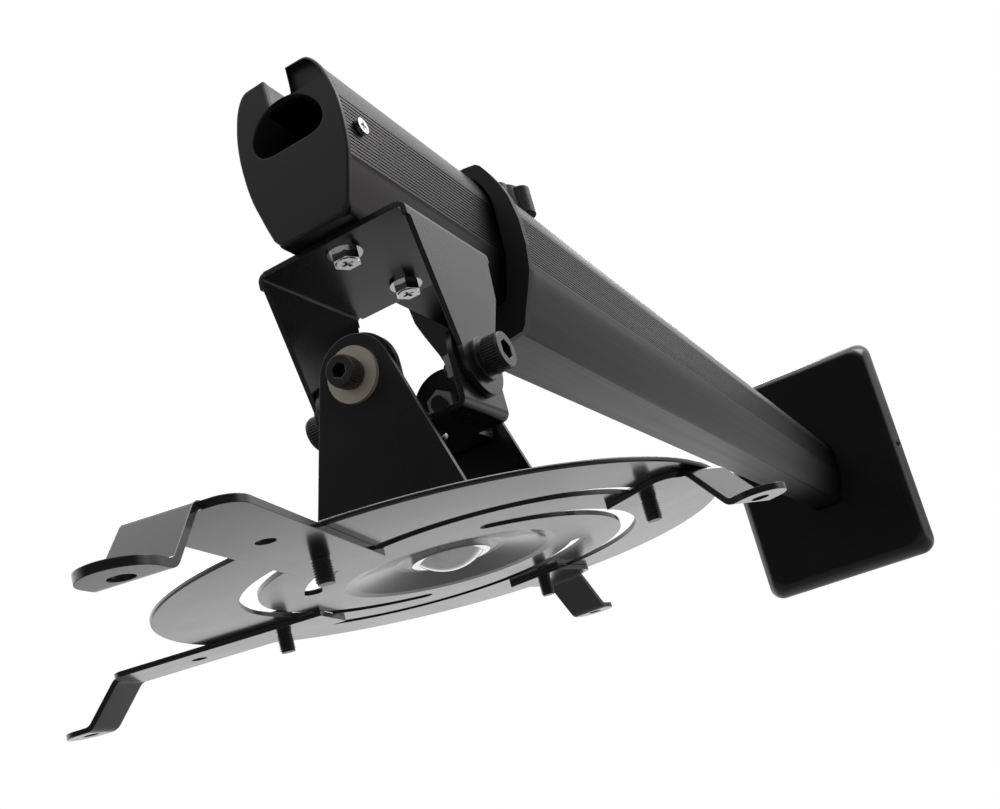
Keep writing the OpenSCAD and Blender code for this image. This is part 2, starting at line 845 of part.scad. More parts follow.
module centre_nut() {
  color([0.6, 0.6, 0.62])
  head()
  translate([0, 0, brk_bot + sheet + 2])
    difference() {
      cylinder(h = 8, r = 17 / sqrt(3), $fn = 6);
      translate([0, 0, -1]) cylinder(h = 10, r = tilt_r + 0.02);
    }
}

// foot arms

function slot_end(k) =
  let (a = 90 * k, x = slot_e * cos(slot_phi) + slot_rho, y = slot_e * sin(slot_phi))
  [x * cos(a) - y * sin(a), x * sin(a) + y * cos(a)];

// places children at a foot arm's stud, strip direction along +X, foot turning to +Y
module at_arm(i) {
  p = slot_end(arm_slot[i]);
  head()
    translate([p[0], p[1], 0]) rotate([0, 0, arm_dir[i]]) mirror([0, arm_hand[i] < 0 ? 1 : 0, 0]) children();
}

module foot_arm(i) {
  b = arm_bend[i];
  hw = arm_w / 2;
  lo = hw - foot_w;
  inner_end = arm_inner[i];
  fc = hw - foot_w / 2;
  tip = b + jog_run + foot_out;
  at_arm(i)
  difference() {
    intersection() {
      translate([0, 0, -arm_gap]) jogged_sheet(b, inner_end);
      translate([0, 0, -40]) linear_extrude(height = 50)
        union() {
          difference() {
            translate([-inner_end, -hw]) square([inner_end + b, arm_w]);
            translate([b - corner_r, -hw - eps]) square([corner_r + 1, corner_r + eps]);
          }
          translate([b - corner_r, -hw + corner_r]) circle(r = corner_r);
          translate([b - 1, lo]) square([tip - b + 1, foot_w]);
          translate([tip, fc]) circle(r = foot_w / 2 + 0.01);
        }
    }
    translate([0, 0, -10]) cylinder(h = 20, r = stud_r + 0.04);
    if (b > extra_hole + 10)
      translate([extra_hole, 0, -10]) cylinder(h = 20, r = foot_hole_r);
    translate([tip, fc, -40]) cylinder(h = 50, r = foot_hole_r);
  }
}

// points of a round bend in the sheet's side view: centre, radius, start and end angle off the vertical
function bend_pts(cx, cz, r, up, a0, a1) =
  [for (k = [0 : 8]) let (a = a0 + (a1 - a0) * k / 8) [cx + up * r * sin(a), cz + up * r * cos(a)]];

// flat sheet along X that steps down by foot_drop from x = b, bent to a radius at both ends
module jogged_sheet(b, inner_end) {
  ro = jog_ri + arm_t;
  z1 = -arm_t / 2 - jog_rm;
  z2 = -arm_t / 2 - foot_drop + jog_rm;
  mx = b + jog_run;
  rotate([90, 0, 0]) linear_extrude(height = 50, center = true)
    polygon(concat([[-inner_end - 2, 0]], bend_pts(b, z1, ro, 1, 0, jog_ang),
      bend_pts(mx, z2, jog_ri, -1, jog_ang, 0), [[mx + 60, -foot_drop], [mx + 60, -foot_drop - arm_t]],
      bend_pts(mx, z2, ro, -1, 0, jog_ang), bend_pts(b, z1, jog_ri, 1, jog_ang, 0),
      [[-inner_end - 2, -arm_t]]));
}

module arm_color() {
  color([0.1, 0.1, 0.11]) children();
}

module arm_1() {
  arm_color() foot_arm(0);
}

module arm_2() {
  arm_color() foot_arm(1);
}

module arm_3() {
  arm_color() foot_arm(2);
}

module arm_4() {
  arm_color() foot_arm(3);
}

// bolt through slot and arm, head above the disc, thread standing out below
module arm_bolt(i) {
  color([0.2, 0.2, 0.21])
  at_arm(i) {
    translate([0, 0, -arm_t - stud_out]) cylinder(h = arm_t + stud_out + disc_t + 1.3, r = stud_r);
    translate([0, 0, disc_t + 1.2])
      difference() {
        cylinder(h = 4.5, r = 10 / sqrt(3), $fn = 6);
        translate([0, 0, 4.6]) cross_cut(1.8, 5);
      }
  }
}

module arm_bolt_1() {
  arm_bolt(0);
}

module arm_bolt_2() {
  arm_bolt(1);
}

module arm_bolt_3() {
  arm_bolt(2);
}

module arm_bolt_4() {
  arm_bolt(3);
}

module arm_washer(i) {
  color([0.6, 0.6, 0.62])
  at_arm(i) translate([0, 0, disc_t]) washer(1.2, 8, stud_r + 0.1);
}

module arm_washer_1() {
  arm_washer(0);
}

module arm_washer_2() {
  arm_washer(1);
}

module arm_washer_3() {
  arm_washer(2);
}

module arm_washer_4() {
  arm_washer(3);
}

wall_plate();
arm_socket();
socket_screws();
outer_tube();
tube_screws();
wall_cover();
cover_screws();
collar();
front_glide();
clamp_bush();
clamp_pad();
lock_knob();
knob_stud();
inner_tube();
end_cap();
cap_screws();
rear_glide();
yoke();
yoke_bolts();
nut_plate();
cross_piece();
tilt_bolts();
tilt_washers();
tilt_friction();
tilt_nuts();
lower_bracket();
roll_bolts();
roll_washers();
roll_friction();
roll_nuts();
swivel_washer();
disc();
centre_bolt();
centre_washer();
centre_nut();
arm_1();
arm_2();
arm_3();
arm_4();
arm_bolt_1();
arm_bolt_2();
arm_bolt_3();
arm_bolt_4();
arm_washer_1();
arm_washer_2();
arm_washer_3();
arm_washer_4();
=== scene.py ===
import bpy
import bmesh
import math
from mathutils import Matrix, Vector


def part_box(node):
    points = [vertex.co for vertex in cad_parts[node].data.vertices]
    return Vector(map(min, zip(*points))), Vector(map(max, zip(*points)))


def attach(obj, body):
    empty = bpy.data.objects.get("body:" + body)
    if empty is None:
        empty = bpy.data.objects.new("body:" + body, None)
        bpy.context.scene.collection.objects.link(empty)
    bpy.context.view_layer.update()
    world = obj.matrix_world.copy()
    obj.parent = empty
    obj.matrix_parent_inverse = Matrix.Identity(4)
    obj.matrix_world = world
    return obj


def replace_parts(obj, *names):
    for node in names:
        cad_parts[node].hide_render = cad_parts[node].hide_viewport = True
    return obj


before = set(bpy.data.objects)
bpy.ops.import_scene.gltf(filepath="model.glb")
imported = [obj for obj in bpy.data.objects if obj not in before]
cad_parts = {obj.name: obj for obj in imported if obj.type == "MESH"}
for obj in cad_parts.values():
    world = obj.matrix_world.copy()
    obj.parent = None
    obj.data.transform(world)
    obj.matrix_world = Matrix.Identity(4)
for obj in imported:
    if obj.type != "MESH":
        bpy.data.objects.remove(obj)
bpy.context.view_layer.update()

MM = 0.001
# where the head's axis meets the disc's underside, in metres in the object's frame
HEAD = Vector((0.0, -1.100, -0.177))


def hp(x, y, z):
    """Point given in mm from HEAD, in metres in the object's frame."""
    return Vector((x * MM, y * MM, z * MM)) + HEAD


# ---------------------------------------------------------------- node trees

def add_node(tree, kind, **settings):
    n = tree.nodes.new(kind)
    for key, v in settings.items():
        setattr(n, key, v)
    return n


def math_node(tree, operation, *values):
    """Result of a math node whose inputs are numbers or other nodes' outputs."""
    n = add_node(tree, "ShaderNodeMath", operation=operation)
    for socket, v in zip(n.inputs, values):
        if isinstance(v, (int, float)):
            socket.default_value = v
        else:
            tree.links.new(v, socket)
    return n.outputs[0]


def range_node(tree, v, lo, hi, a, b, kind="LINEAR"):
    """v from lo..hi mapped to a..b and held there."""
    n = add_node(tree, "ShaderNodeMapRange", interpolation_type=kind)
    for key, x in (("From Min", lo), ("From Max", hi), ("To Min", a), ("To Max", b)):
        n.inputs[key].default_value = x
    tree.links.new(v, n.inputs["Value"])
    return n.outputs["Result"]


# ---------------------------------------------------------------- materials

class Mat:
    """Small helper round one node material."""

    def __init__(self, name, color, rough, metal=0.0, **inputs):
        self.m = bpy.data.materials.new(name)
        self.m.use_nodes = True
        self.t = self.m.node_tree
        self.b = self.t.nodes["Principled BSDF"]
        self.b.inputs["Base Color"].default_value = (*color, 1)
        self.b.inputs["Roughness"].default_value = rough
        self.b.inputs["Metallic"].default_value = metal
        for key, v in inputs.items():
            self.b.inputs[key.replace("_", " ")].default_value = v
        self.co = add_node(self.t, "ShaderNodeTexCoord")

    def link(self, a, b):
        self.t.links.new(a, b)

    def mapped(self, scale):
        n = add_node(self.t, "ShaderNodeMapping")
        n.inputs["Scale"].default_value = scale
        self.link(self.co.outputs["Object"], n.inputs["Vector"])
        return n.outputs["Vector"]

    def noise(self, vec, scale, detail=3.0, rough=0.5):
        n = add_node(self.t, "ShaderNodeTexNoise")
        n.inputs["Scale"].default_value = scale
        n.inputs["Detail"].default_value = detail
        n.inputs["Roughness"].default_value = rough
        self.link(vec, n.inputs["Vector"])
        return n.outputs["Fac"]

    def ramp(self, fac, lo, hi, a, b):
        return range_node(self.t, fac, lo, hi, a, b)

    def color_mix(self, fac, c1, c2):
        n = add_node(self.t, "ShaderNodeMix", data_type="RGBA")
        n.inputs["A"].default_value = (*c1, 1)
        n.inputs["B"].default_value = (*c2, 1)
        self.link(fac, n.inputs["Factor"])
        self.link(n.outputs["Result"], self.b.inputs["Base Color"])

    def rough(self, fac):
        self.link(fac, self.b.inputs["Roughness"])

    def bump(self, height, strength, dist, edge=0.0):
        """Bump from height; with an edge radius, sharp edges are shaded as rounded ones."""
        n = add_node(self.t, "ShaderNodeBump")
        if edge > 0:
            e = add_node(self.t, "ShaderNodeBevel", samples=6)
            e.inputs["Radius"].default_value = edge
            self.link(e.outputs["Normal"], n.inputs["Normal"])
        n.inputs["Strength"].default_value = strength
        n.inputs["Distance"].default_value = dist
        self.link(height, n.inputs["Height"])
        self.link(n.outputs["Normal"], self.b.inputs["Normal"])
        return n.outputs["Normal"]


def toned(color, factor):
    return tuple(c * factor for c in color)


def painted(name, color=(0.006, 0.006, 0.0064), rough=0.28, coat=0.2, coat_rough=0.14,
            edge=0.0006):
    """Sprayed steel: clear coat, faint orange peel, faint handling marks."""
    m = Mat(name, color, rough, Specular_IOR_Level=0.5, Coat_Weight=coat,
            Coat_Roughness=coat_rough)
    v = m.mapped((1, 1, 1))
    peel = m.noise(v, 900, 2.0)
    haze = m.noise(v, 22, 4.0, 0.6)
    fine = m.noise(v, 2600, 1.0)
    m.rough(m.ramp(haze, 0.3, 0.72, rough - 0.03, rough + 0.05))
    m.color_mix(m.ramp(fine, 0.4, 0.75, 0.0, 0.5), color, toned(color, 1.9))
    m.link(m.bump(peel, 0.1, 0.0001, edge), m.b.inputs["Coat Normal"])
    return m.m


def anodised(name, color=(0.05, 0.046, 0.046), rough=0.33):
    """Dark satin extrusion: drawing lines along its length, slight tone bands."""
    m = Mat(name, color, rough, 1.0)
    lines = m.noise(m.mapped((420, 1.6, 420)), 1.0, 4.0, 0.65)
    bands = m.noise(m.mapped((90, 0.5, 90)), 1.0, 2.0)
    grain = m.noise(m.mapped((1, 1, 1)), 1500, 1.0)
    m.color_mix(m.ramp(bands, 0.35, 0.65, 0.0, 1.0), toned(color, 0.95), toned(color, 1.05))
    m.rough(m.ramp(lines, 0.3, 0.7, rough - 0.02, rough + 0.05))
    height = math_node(m.t, "ADD", lines, m.ramp(grain, 0.0, 1.0, 0.0, 0.35))
    m.bump(height, 0.08, 0.00006)
    return m.m


def moulded(name, color, rough, grain=1400, depth=0.2, spec=0.5, edge=0.0006):
    """Moulded plastic with a fine even grain and soft unevenness."""
    m = Mat(name, color, rough, Specular_IOR_Level=spec)
    v = m.mapped((1, 1, 1))
    fine = m.noise(v, grain, 2.0)
    soft = m.noise(v, 14, 3.0, 0.5)
    m.rough(m.ramp(soft, 0.3, 0.7, rough - 0.04, rough + 0.06))
    m.color_mix(m.ramp(fine, 0.35, 0.7, 0.0, 1.0), toned(color, 0.85), toned(color, 1.25))
    m.bump(fine, depth, 0.0001, edge)
    return m.m


def plated(name, color, rough, spot=0.08, metal=1.0):
    """Plated or bare metal with fine scratches and cloudy spots."""
    m = Mat(name, color, rough, metal)
    cloud = m.noise(m.mapped((1, 1, 1)), 180, 4.0, 0.6)
    scratch = m.noise(m.mapped((900, 900, 60)), 1.0, 3.0)
    m.rough(m.ramp(cloud, 0.3, 0.75, max(0.02, rough - 0.04), rough + spot))
    m.color_mix(m.ramp(cloud, 0.35, 0.75, 0.0, 0.6), color, toned(color, 0.8))
    m.bump(scratch, 0.06, 0.00005)
    return m.m


PAINT = painted("painted_black")
PAINT_DISC = painted("painted_disc", (0.008, 0.0077, 0.0077), 0.2, 0.45, 0.1, 0.0004)
ALU = anodised("anodised_dark")
COVER = moulded("cover_plastic", (0.004, 0.004, 0.0044), 0.2, 900, 0.08, 0.5, 0.006)
SATIN = moulded("satin_plastic", (0.009, 0.009, 0.0088), 0.42, 1700, 0.3, 0.4)
KNOB = moulded("knob_plastic", (0.009, 0.009, 0.009), 0.38, 1500, 0.25, 0.5)
CHROME = plated("chrome_bright", (0.86, 0.86, 0.87), 0.09, 0.06)
ZINC = plated("zinc_plate", (0.62, 0.62, 0.63), 0.3)
OXIDE = painted("black_oxide", (0.009, 0.009, 0.0095), 0.34, 0.3, 0.2)
WASH = plated("washer_steel", (0.5, 0.45, 0.37), 0.36, metal=0.55)
NYLON = moulded("nylon_white", (0.62, 0.61, 0.58), 0.45, 1200, 0.15, 0.4)
GREYP = moulded("grey_plastic", (0.12, 0.12, 0.12), 0.45, 1200, 0.15, 0.4)

BY_NODE = {
    "wall_plate": PAINT, "arm_socket": PAINT, "socket_screws": ZINC, "outer_tube": ALU,
    "tube_screws": ZINC, "wall_cover": COVER, "cover_screws": OXIDE, "collar": SATIN,
    "front_glide": NYLON, "clamp_bush": ZINC, "clamp_pad": NYLON, "lock_knob": KNOB,
    "knob_stud": ZINC, "inner_tube": ALU, "end_cap": SATIN, "cap_screws": CHROME,
    "rear_glide": NYLON, "yoke": PAINT, "yoke_bolts": CHROME, "nut_plate": ZINC,
    "cross_piece": PAINT, "tilt_bolts": OXIDE, "tilt_washers": OXIDE, "tilt_friction": GREYP,
    "tilt_nuts": ZINC, "lower_bracket": PAINT, "roll_bolts": OXIDE, "roll_washers": WASH,
    "roll_friction": GREYP, "roll_nuts": ZINC, "swivel_washer": GREYP, "disc": PAINT_DISC,
    "centre_bolt": CHROME, "centre_washer": ZINC, "centre_nut": ZINC,
}
FOOT_ARMS = range(1, 5)
for i in FOOT_ARMS:
    BY_NODE["arm_%d" % i] = PAINT_DISC
    BY_NODE["arm_bolt_%d" % i] = OXIDE
    BY_NODE["arm_washer_%d" % i] = ZINC

for name, mat in BY_NODE.items():
    slots = bpy.data.objects[name].data.materials
    slots.clear()
    slots.append(mat)


# ---------------------------------------------------------------- mesh helpers

def mesh_object(name, bm, mat, body, smooth=False):
    """Scene piece from bm that rides on a body."""
    me = bpy.data.meshes.new(name)
    bm.to_mesh(me)
    bm.free()
    ob = bpy.data.objects.new(name, me)
    bpy.context.scene.collection.objects.link(ob)
    me.materials.append(mat)
    if smooth:
        for p in me.polygons:
            p.use_smooth = True
    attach(ob, body)
    return ob


def finish_mesh(name, bm, mat, body, angle=30.0):
    """Piece from bm with smooth faces and crisp edges where the surface turns."""
    bmesh.ops.recalc_face_normals(bm, faces=bm.faces[:])
    ob = mesh_object(name, bm, mat, body, smooth=True)
    ob.data.set_sharp_from_angle(angle=math.radians(angle))
    return ob


def ring_verts(bm, loop, y):
    """Vertices of an (x, z) loop at y along the arm, all in mm from HEAD."""
    return [bm.verts.new(hp(x, y, z)) for x, z in loop]


def skin(bm, a, b):
    """Band of faces between two closed rings."""
    n = len(a)
    for i in range(n):
        bm.faces.new((a[i], a[(i + 1) % n], b[(i + 1) % n], b[i]))


def skin_all(bm, rows):
    for a, b in zip(rows, rows[1:]):
        skin(bm, a, b)


def fill(bm, *rings):
    """Flat face between the rings, which share one plane."""
    edges = []
    for r in rings:
        for a, b in zip(r, r[1:] + r[:1]):
            edges.append(bm.edges.get((a, b)) or bm.edges.new((a, b)))
    bmesh.ops.triangle_fill(bm, use_beauty=True, use_dissolve=False, edges=edges)


def spline(pts, n=5):
    """Catmull-Rom points through pts."""
    out = []
    for i in range(len(pts) - 1):
        p0 = pts[max(i - 1, 0)]
        p1, p2 = pts[i], pts[i + 1]
        p3 = pts[min(i + 2, len(pts) - 1)]
        for k in range(n):
            t = k / n
            out.append(tuple(0.5 * (2 * b + (c - a) * t + (2 * a - 5 * b + 4 * c - d) * t * t
                                    + (3 * b - a - 3 * c + d) * t ** 3)
                             for a, b, c, d in zip(p0, p1, p2, p3)))
    out.append(tuple(pts[-1]))
    return out


def mirrored(side):
    """Closed loop from right-hand points (half width, height), bottom to top."""
    return list(side) + [(-x, z) for x, z in reversed(side)]


def grow(loop, g):
    """Loop moved outwards by g along its corner normals."""
    n = len(loop)
    out = []
    for i in range(n):
        (ax, az), (bx, bz), (cx, cz) = loop[i - 1], loop[i], loop[(i + 1) % n]
        nx, nz = 0.0, 0.0
        for ux, uz in ((bx - ax, bz - az), (cx - bx, cz - bz)):
            m = math.hypot(ux, uz) or 1.0
            nx, nz = nx + uz / m, nz - ux / m
        m = math.hypot(nx, nz) or 1.0
        out.append((bx + g * nx / m, bz + g * nz / m))
    return out


# ---------------------------------------------------------------- threads of the arm bolts

THREAD_R = 0.0029       # shank
THREAD_LENGTH = 0.0082
THREAD_START = 0.0006   # above the bolt's lower end
THREAD_PITCH = 0.001
THREAD_DEPTH = 0.0006
THREAD_SINK = 0.0002    # how far the ridge's foot sits inside the shank
FOOT_HALF, CREST_HALF = 0.42, 0.06   # half widths of the ridge in pitches
TURN_STEPS = 28


def thread(name, centre, axis, mat, body):
    """Helical ridge round a shank, from centre along axis, running out at both ends."""
    bm = bmesh.new()
    steps = int(THREAD_LENGTH / THREAD_PITCH * TURN_STEPS)
    run_out = TURN_STEPS * 0.5
    ax = axis.normalized()
    u = ax.orthogonal().normalized()
    w = ax.cross(u)
    rows = []
    for i in range(steps + 1):
        a = 2 * math.pi * i / TURN_STEPS
        fade = min(1.0, i / run_out, (steps - i) / run_out)
        rad = u * math.cos(a) + w * math.sin(a)
        mid = centre + ax * (THREAD_PITCH * i / TURN_STEPS)
        foot = mid + rad * (THREAD_R - THREAD_SINK)
        crest = mid + rad * (THREAD_R + THREAD_DEPTH * fade)
        rows.append([
            bm.verts.new(foot - ax * THREAD_PITCH * FOOT_HALF),
            bm.verts.new(crest - ax * THREAD_PITCH * CREST_HALF),
            bm.verts.new(crest + ax * THREAD_PITCH * CREST_HALF),
            bm.verts.new(foot + ax * THREAD_PITCH * FOOT_HALF)])
    skin_all(bm, rows)
    bm.faces.new(rows[0][::-1])
    bm.faces.new(rows[-1])
    bmesh.ops.recalc_face_normals(bm, faces=bm.faces[:])
    mesh_object(name, bm, mat, body)


for i in FOOT_ARMS:
    lo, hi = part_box("arm_bolt_%d" % i)
    start = Vector(((lo[0] + hi[0]) / 2, (lo[1] + hi[1]) / 2, lo[2] + THREAD_START))
    thread("stud_thread_%d" % i, start, Vector((0, 0, 1)), OXIDE, "stud_%d" % i)


# ---------------------------------------------------------------- arm tubes

# one flute: (share of the pitch, 1 where it is in the groove)
FLUTE = ((0.0, 0), (0.62, 0), (0.7, 1), (0.92, 1))


def fluted(z0, z1, x0, x1, n, d):
    """Fine flutes from z0 to z1: flat lands with narrow grooves of depth d between them."""
    out = []
    p = (z1 - z0) / n
    for i in range(n):
        for share, groove in FLUTE:
            z = z0 + p * (i + share)
            x = x0 + (x1 - x0) * (z - z0) / (z1 - z0)
            out.append((x - d * groove, z))
    out.append((x1, z1))
    return out


def extruded(name, outer, inner, y0, y1, body, node):
    """Tube between two loops from y0 to y1, in place of a node."""
    bm = bmesh.new()
    rings = []
    for loop in (outer, inner):
        rings.append((ring_verts(bm, loop, y0), ring_verts(bm, loop, y1)))
        skin(bm, *rings[-1])
    for end in (0, 1):
        fill(bm, rings[0][end], rings[1][end])
    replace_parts(finish_mesh(name, bm, ALU, body, 24), node)


# outlines: right-hand points (half width, height above the disc's underside), bottom to top
INNER_SIDE = (
    [(17.5, 145), (18.7, 146.5)]
    + spline([(19.5, 149), (21.6, 156), (23.5, 163), (24.9, 168.6)], 3)
    + fluted(169.6, 197.2, 25.5, 26.4, 15, 0.55)
    + spline([(26.4, 197.4), (26.3, 200.5), (25.4, 204.5), (23.8, 209), (22, 213), (19.9, 216.5),
              (17.7, 218.7), (15.4, 219.5)]))
CHANNEL = [(6, 219.5), (6, 207.5)]
INNER_CAVITY = [(16.0, 147.5), (20.9, 163), (22.9, 173), (23.5, 199), (22.4, 205)]
extruded("inner_tube_fluted", mirrored(INNER_SIDE + CHANNEL), mirrored(INNER_CAVITY),
         -39.9, 490, "slide_arm", "inner_tube")

OUTER_TOP = spline([(29.9, 201.2), (29.7, 203.5), (28.8, 207), (27, 212), (24.8, 216.5), (22, 220),
                    (19.5, 221.8), (17.5, 222.5)])
OUTER_SIDE = (
    [(16, 131), (17.6, 132.2)]
    + spline([(21.2, 140), (26.2, 157), (28.2, 165), (29, 170.5)], 3)
    + fluted(171.5, 200.8, 29.2, 29.95, 16, 0.5)
    + OUTER_TOP)
OUTER_CAVITY = [(16.1, 133.5), (18.7, 140), (23.7, 157), (25.7, 165), (26.3, 171), (26.9, 201),
                (26.3, 207), (24.5, 212), (22.3, 216.5), (19.9, 219.9)]
extruded("outer_tube_fluted", mirrored(OUTER_SIDE), mirrored(OUTER_CAVITY),
         96, 1091, "wall_arm", "outer_tube")


# ---------------------------------------------------------------- end cap

# smooth outline over the flutes with the channel's notch, and the cable hole under it
CAP_SIDE = (
    [(12.5, 144.9), (16.2, 145.3), (18.2, 146.9)]
    + spline([(19.9, 149), (22.1, 156), (24.0, 163), (25.7, 169.5), (26.7, 176), (27.2, 183),
              (27.3, 190), (26.9, 196), (26.1, 201.5), (25.0, 206), (23.4, 211), (21.4, 215),
              (19.0, 218), (16.4, 219.6), (13, 219.9)], 4)
    + [(6, 219.9), (6, 207.5)])
HOLE_SIDE = spline([(9, 185.3), (12.6, 185.7), (15.8, 187.0), (17.9, 189.4), (18.5, 192.2),
                    (17.8, 196.2), (15.2, 200.4), (11.2, 203.9), (6, 206.3), (1.2, 206.95)], 3)
CAP_BACK = -39.95
HOLE_END = -18
HOLE_WALL = 0.45
# rounded rims: (growth of the loop, y); the first two rings keep the face flat up to its edge
CAP_RIM = ((-1.25, -42.35), (-0.9, -42.35), (-0.42, -42.2), (-0.1, -41.8), (0, -41.3),
           (0, CAP_BACK))
HOLE_RIM = ((0.56, -42.35), (0.4, -42.35), (0.1, -42.15), (0, -41.7), (0, HOLE_END))

bm = bmesh.new()
cap_loop, hole_loop = mirrored(CAP_SIDE), mirrored(HOLE_SIDE)
cap_rows = [ring_verts(bm, grow(cap_loop, g), y) for g, y in CAP_RIM]
hole_rows = [ring_verts(bm, grow(hole_loop, g), y) for g, y in HOLE_RIM]
skin_all(bm, cap_rows)
skin_all(bm, hole_rows)
fill(bm, cap_rows[0], hole_rows[0])
sleeve = [ring_verts(bm, grow(hole_loop, HOLE_WALL), y) for y in (HOLE_END, CAP_BACK)]
skin_all(bm, [hole_rows[-1]] + sleeve)
fill(bm, cap_rows[-1], sleeve[-1])
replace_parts(finish_mesh("end_cap_moulded", bm, SATIN, "slide_arm", 38), "end_cap")


# ---------------------------------------------------------------- wall cover

COVER_CORNER = 20
COVER_WALL = 2.2
COVER_SHARP = 50
# rolled edge: (inset from the back edge, share of the depth); the last ring keeps the face flat
COVER_EDGE = spline([(0, 0), (2.2, 0.3), (4.8, 0.55), (7.4, 0.75), (9.6, 0.88), (12, 0.96),
                     (15.5, 1.0)], 3) + [(16.5, 1.0)]
TUBE_GAP = 0.5
TUBE_CUT = (1060, 1104)         # y of the cut's ends, from HEAD
SCREW_Y = -9
SCREW_CUT_R = 4.6
SCREW_CUT = (-4.4, 9)           # ends of the cut, outwards from the cover's side
SCREW_STEPS = 32

lo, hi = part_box("wall_cover")
cover_w, cover_h = (hi[0] - lo[0]) / 2 / MM, (hi[2] - lo[2]) / 2 / MM
cover_d = -lo[1] / MM
cover_z = (hi[2] + lo[2]) / 2 / MM


def rounded_rect(w, h, r, n=8):
    """Loop of half width w and half height h with corners of radius r."""
    out = []
    for cx, cz, start in ((w - r, h - r, 0), (-w + r, h - r, 90), (-w + r, -h + r, 180),
                          (w - r, -h + r, 270)):
        for k in range(n + 1):
            a = math.radians(start + 90 * k / n)
            out.append((cx + r * math.cos(a), cz + r * math.sin(a)))
    return out


def cover_rows(bm, inset, depth):
    """Rings of one side of the cover's wall, from its back edge to its face."""
    return [[bm.verts.new(Vector((x, -depth * share, z + cover_z)) * MM)
             for x, z in rounded_rect(cover_w - inset - i, cover_h - inset - i,
                                      COVER_CORNER - inset)]
            for i, share in COVER_EDGE]


def cutter(loop_a, loop_b):
    """Closed body between two loops of points, to be cut away."""
    bm = bmesh.new()
    ends = [[bm.verts.new(p) for p in loop] for loop in (loop_a, loop_b)]
    skin(bm, *ends)
    bm.faces.new(ends[0][::-1])
    bm.faces.new(ends[1])
    bmesh.ops.recalc_face_normals(bm, faces=bm.faces[:])
    me = bpy.data.meshes.new("cut")
    bm.to_mesh(me)
    bm.free()
    ob = bpy.data.objects.new("cut", me)
    bpy.context.scene.collection.objects.link(ob)
    return ob


bm = bmesh.new()
outer_rows = cover_rows(bm, 0, cover_d)
inner_rows = cover_rows(bm, COVER_WALL, cover_d - COVER_WALL)
for rows in (outer_rows, inner_rows):
    skin_all(bm, rows)
    bm.faces.new(rows[-1])
skin(bm, outer_rows[0], inner_rows[0])
cover = finish_mesh("wall_cover_moulded", bm, COVER, "wall_arm", COVER_SHARP)

# the outer tube without its flutes, and a screw at each side
plain_tube = mirrored([(16, 131), (17.6, 132.2), (21.2, 140), (26.2, 157), (28.2, 165),
                       (29.2, 171), (29.95, 201)] + OUTER_TOP[5:])
tube_hole = grow(plain_tube, TUBE_GAP)
cuts = [cutter(*([hp(x, y, z) for x, z in tube_hole] for y in TUBE_CUT))]
screw_loop = [(SCREW_CUT_R * math.cos(2 * math.pi * k / SCREW_STEPS),
               SCREW_CUT_R * math.sin(2 * math.pi * k / SCREW_STEPS))
              for k in range(SCREW_STEPS)]
for side in (-1, 1):
    cuts.append(cutter(*([Vector((side * (cover_w + out), SCREW_Y + a, cover_z + b)) * MM
                          for a, b in screw_loop] for out in SCREW_CUT)))
for cut in cuts:
    md = cover.modifiers.new("cut", "BOOLEAN")
    md.operation = "DIFFERENCE"
    md.solver = "EXACT"
    md.object = cut
bpy.context.view_layer.update()
cover_cut = cover.evaluated_get(bpy.context.evaluated_depsgraph_get())
cover_mesh = bpy.data.meshes.new_from_object(cover_cut)
cover.modifiers.clear()
cover.data = cover_mesh
cover.data.set_sharp_from_angle(angle=math.radians(COVER_SHARP))
for cut in cuts:
    bpy.data.objects.remove(cut)
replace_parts(cover, "wall_cover")


# ---------------------------------------------------------------- knurled bolt heads

KNURLS = 40
KNURL_GAP = 0.04      # between the head and the grooves' floor
KNURL_HEIGHT = 0.32
KNURL_TOOTH = (0.0, KNURL_HEIGHT, KNURL_HEIGHT, 0.0)
KNURL_SINK = 0.15     # how far both ends dip into the head
KNURL_FACE = 0.7      # from the head's face to the first ring
KNURL_CHAMFER = (1.1, 0.5)   # start after the face and end before the head's foot


def knurl(name, node, axis, r, length, body):
    """Straight knurling round a bolt head; axis is the head's outward direction."""
    lo, hi = map(Vector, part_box(node))
    ax = Vector(axis)
    face = (lo + hi) / 2
    for k in range(3):
        if ax[k]:
            face[k] = hi[k] if ax[k] > 0 else lo[k]
    u = ax.orthogonal().normalized()
    w = ax.cross(u)
    steps = KNURLS * len(KNURL_TOOTH)
    bm = bmesh.new()
    rows = []
    for depth, full in ((KNURL_FACE, False), (KNURL_CHAMFER[0], True),
                        (length - KNURL_CHAMFER[1], True), (length, False)):
        row = []
        for i in range(steps):
            a = 2 * math.pi * i / steps
            rise = KNURL_TOOTH[i % len(KNURL_TOOTH)] if full else -KNURL_SINK
            rad = u * math.cos(a) + w * math.sin(a)
            row.append(bm.verts.new(face - ax * depth * MM + rad * ((r + KNURL_GAP + rise) * MM)))
        rows.append(row)
    skin_all(bm, rows + rows[:1])
    bmesh.ops.recalc_face_normals(bm, faces=bm.faces[:])
    mesh_object(name, bm, OXIDE, body)


knurl("roll_knurl_front", "roll_bolts", (0, -1, 0), 6.5, 6.6, "roll_frame")
knurl("roll_knurl_back", "roll_bolts", (0, 1, 0), 6.5, 6.6, "roll_frame")
knurl("tilt_knurl_right", "tilt_bolts", (1, 0, 0), 8.0, 8.4, "slide_arm")
knurl("tilt_knurl_left", "tilt_bolts", (-1, 0, 0), 8.0, 8.4, "slide_arm")


# ---------------------------------------------------------------- camera

